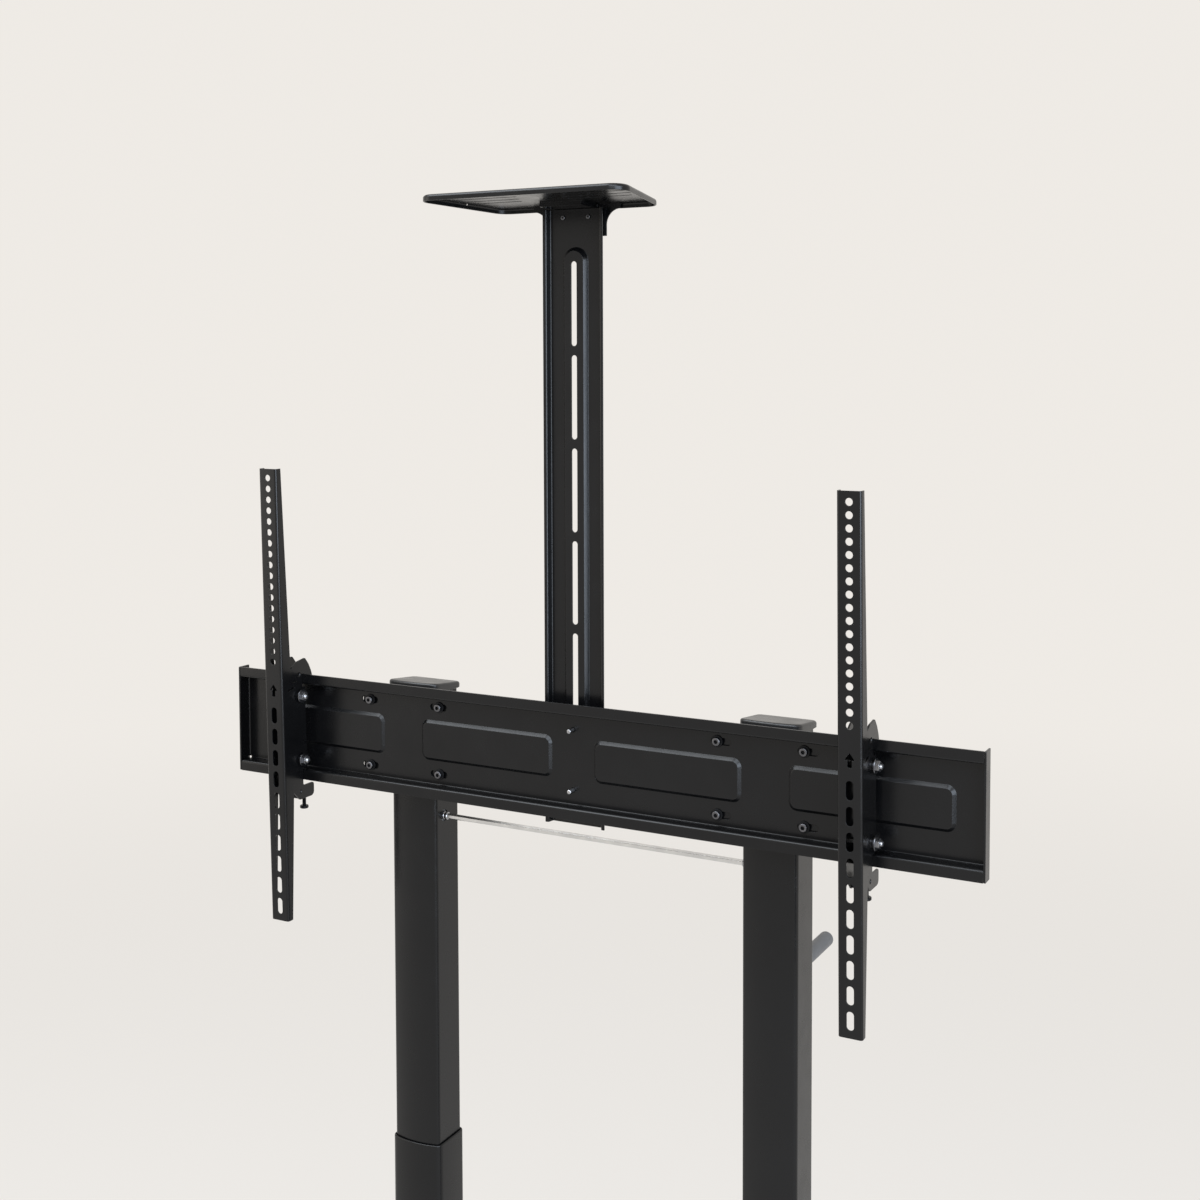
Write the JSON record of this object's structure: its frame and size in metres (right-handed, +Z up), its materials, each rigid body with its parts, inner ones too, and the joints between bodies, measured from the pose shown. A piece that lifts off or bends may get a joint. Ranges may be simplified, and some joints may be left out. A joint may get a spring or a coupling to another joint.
{
  "type": "mobile display stand",
  "caption": "Height-adjustable display stand on castors, with a wide rail, tilting display arms, a hand crank and a slotted mast carrying a small shelf.",
  "frame": {"origin": "on the floor, under the middle of the stand", "axes": "+Z up, +X to the right of a viewer who faces the display side, +Y to the back; the display arms face -Y"},
  "size_m": [1.084, 0.68, 2.1533],
  "materials": {
    "black_powder_coat": "satin powder coat",
    "black_plastic": "satin moulded",
    "grey_plastic": "satin moulded",
    "pale_nylon": "machined",
    "grey_rubber": "matte",
    "zinc_plate": "zinc plated",
    "bright_steel": "drawn bright steel",
    "black_oxide": "black oxide"
  },
  "bodies": {
    "base": {"cross_beam": "black_powder_coat", "left_foot_beam": "black_powder_coat", "right_foot_beam": "black_powder_coat", "left_front_beam_cap": "black_plastic", "left_rear_beam_cap": "black_plastic", "right_front_beam_cap": "black_plastic", "right_rear_beam_cap": "black_plastic", "left_front_castor_mount": "zinc_plate", "left_rear_castor_mount": "zinc_plate", "right_front_castor_mount": "zinc_plate", "right_rear_castor_mount": "zinc_plate", "left_column_plate": "black_powder_coat", "right_column_plate": "black_powder_coat", "left_outer_column": "black_powder_coat", "right_outer_column": "black_powder_coat", "left_glide_sleeve": "black_plastic", "right_glide_sleeve": "black_plastic", "left_nut_post": "zinc_plate", "right_nut_post": "zinc_plate", "left_lift_nut": "pale_nylon", "right_lift_nut": "pale_nylon"},
    "lift_frame": {"left_inner_column": "black_powder_coat", "right_inner_column": "black_powder_coat", "left_column_cap": "black_plastic", "right_column_cap": "black_plastic", "left_gearbox_housing": "grey_plastic", "right_gearbox_housing": "grey_plastic", "left_rail_bracket": "black_powder_coat", "right_rail_bracket": "black_powder_coat", "rail": "black_powder_coat", "mast_clamp": "zinc_plate"},
    "left_screw": {"left_lead_screw": "bright_steel"},
    "right_screw": {"right_lead_screw": "bright_steel"},
    "cross_rod": {"drive_rod": "bright_steel"},
    "crank": {"crank_handle": "black_powder_coat"},
    "grip": {"crank_grip": "grey_plastic"},
    "mast_unit": {"mast": "black_powder_coat", "shelf": "black_powder_coat"},
    "left_hook": {"left_hook_bracket": "black_powder_coat", "left_pivot_bolt": "zinc_plate", "left_safety_screw": "black_oxide"},
    "right_hook": {"right_hook_bracket": "black_powder_coat", "right_pivot_bolt": "zinc_plate", "right_safety_screw": "black_oxide"},
    "left_display_arm": {"left_arm": "black_powder_coat", "left_tilt_bolt": "zinc_plate"},
    "right_display_arm": {"right_arm": "black_powder_coat", "right_tilt_bolt": "zinc_plate"},
    "left_front_swivel": {"left_front_castor_fork": "zinc_plate"},
    "left_rear_swivel": {"left_rear_castor_fork": "zinc_plate"},
    "right_front_swivel": {"right_front_castor_fork": "zinc_plate"},
    "right_rear_swivel": {"right_rear_castor_fork": "zinc_plate"},
    "left_front_wheel": {"left_front_castor_wheel": "grey_rubber"},
    "left_rear_wheel": {"left_rear_castor_wheel": "grey_rubber"},
    "right_front_wheel": {"right_front_castor_wheel": "grey_rubber"},
    "right_rear_wheel": {"right_rear_castor_wheel": "grey_rubber"}
  },
  "joints": [
    {"name": "lift", "type": "slide", "parent": "base", "child": "lift_frame", "axis": [0, 0, 1], "range_m": [-0.4, 0.04]},
    {"name": "left_screw_turn", "type": "hinge", "parent": "lift_frame", "child": "left_screw", "pos_m": [-0.265, -0.008, 1.32], "axis": [0, 0, 1], "range_deg": [-970, 9580]},
    {"name": "right_screw_turn", "type": "hinge", "parent": "lift_frame", "child": "right_screw", "pos_m": [0.265, -0.008, 1.32], "axis": [0, 0, 1], "range_deg": [-9580, 970]},
    {"name": "cross_rod_turn", "type": "hinge", "parent": "lift_frame", "child": "cross_rod", "pos_m": [0, -0.008, 1.32], "axis": [1, 0, 0], "range_deg": [-1450, 14420]},
    {"name": "crank_turn", "type": "hinge", "parent": "lift_frame", "child": "crank", "pos_m": [0.265, 0.03, 1.32], "axis": [0, 1, 0], "range_deg": [-14420, 1450]},
    {"name": "grip_spin", "type": "hinge", "parent": "crank", "child": "grip", "pos_m": [0.265, 0.12, 1.17], "axis": [0, 1, 0], "continuous": true},
    {"name": "mast_height", "type": "slide", "parent": "lift_frame", "child": "mast_unit", "axis": [0, 0, 1], "range_m": [0, 0.02]},
    {"name": "left_hook_slide", "type": "slide", "parent": "lift_frame", "child": "left_hook", "axis": [1, 0, 0], "range_m": [-0.076, 0.378]},
    {"name": "right_hook_slide", "type": "slide", "parent": "lift_frame", "child": "right_hook", "axis": [1, 0, 0], "range_m": [-0.337, 0.11]},
    {"name": "left_arm_tilt", "type": "hinge", "parent": "left_hook", "child": "left_display_arm", "pos_m": [-0.4385, -0.0728, 1.3905], "axis": [1, 0, 0], "range_deg": [-1.3, 10.7]},
    {"name": "right_arm_tilt", "type": "hinge", "parent": "right_hook", "child": "right_display_arm", "pos_m": [0.3975, -0.0728, 1.3905], "axis": [1, 0, 0], "range_deg": [-1.3, 10.7]},
    {"name": "left_front_castor_swivel", "type": "hinge", "parent": "base", "child": "left_front_swivel", "pos_m": [-0.43, -0.27, 0.08], "axis": [0, 0, 1], "continuous": true},
    {"name": "left_rear_castor_swivel", "type": "hinge", "parent": "base", "child": "left_rear_swivel", "pos_m": [-0.43, 0.27, 0.08], "axis": [0, 0, 1], "continuous": true},
    {"name": "right_front_castor_swivel", "type": "hinge", "parent": "base", "child": "right_front_swivel", "pos_m": [0.43, -0.27, 0.08], "axis": [0, 0, 1], "continuous": true},
    {"name": "right_rear_castor_swivel", "type": "hinge", "parent": "base", "child": "right_rear_swivel", "pos_m": [0.43, 0.27, 0.08], "axis": [0, 0, 1], "continuous": true},
    {"name": "left_front_wheel_spin", "type": "hinge", "parent": "left_front_swivel", "child": "left_front_wheel", "pos_m": [-0.43, -0.242, 0.0375], "axis": [1, 0, 0], "continuous": true},
    {"name": "left_rear_wheel_spin", "type": "hinge", "parent": "left_rear_swivel", "child": "left_rear_wheel", "pos_m": [-0.43, 0.298, 0.0375], "axis": [1, 0, 0], "continuous": true},
    {"name": "right_front_wheel_spin", "type": "hinge", "parent": "right_front_swivel", "child": "right_front_wheel", "pos_m": [0.43, -0.242, 0.0375], "axis": [1, 0, 0], "continuous": true},
    {"name": "right_rear_wheel_spin", "type": "hinge", "parent": "right_rear_swivel", "child": "right_rear_wheel", "pos_m": [0.43, 0.298, 0.0375], "axis": [1, 0, 0], "continuous": true}
  ],
  "couplings": [
    {"joint": "crank_turn", "follows": "lift", "rad_per_m": 628.32},
    {"joint": "cross_rod_turn", "follows": "lift", "rad_per_m": -628.32},
    {"joint": "right_screw_turn", "follows": "lift", "rad_per_m": 417.38},
    {"joint": "left_screw_turn", "follows": "lift", "rad_per_m": -417.38}
  ]
}
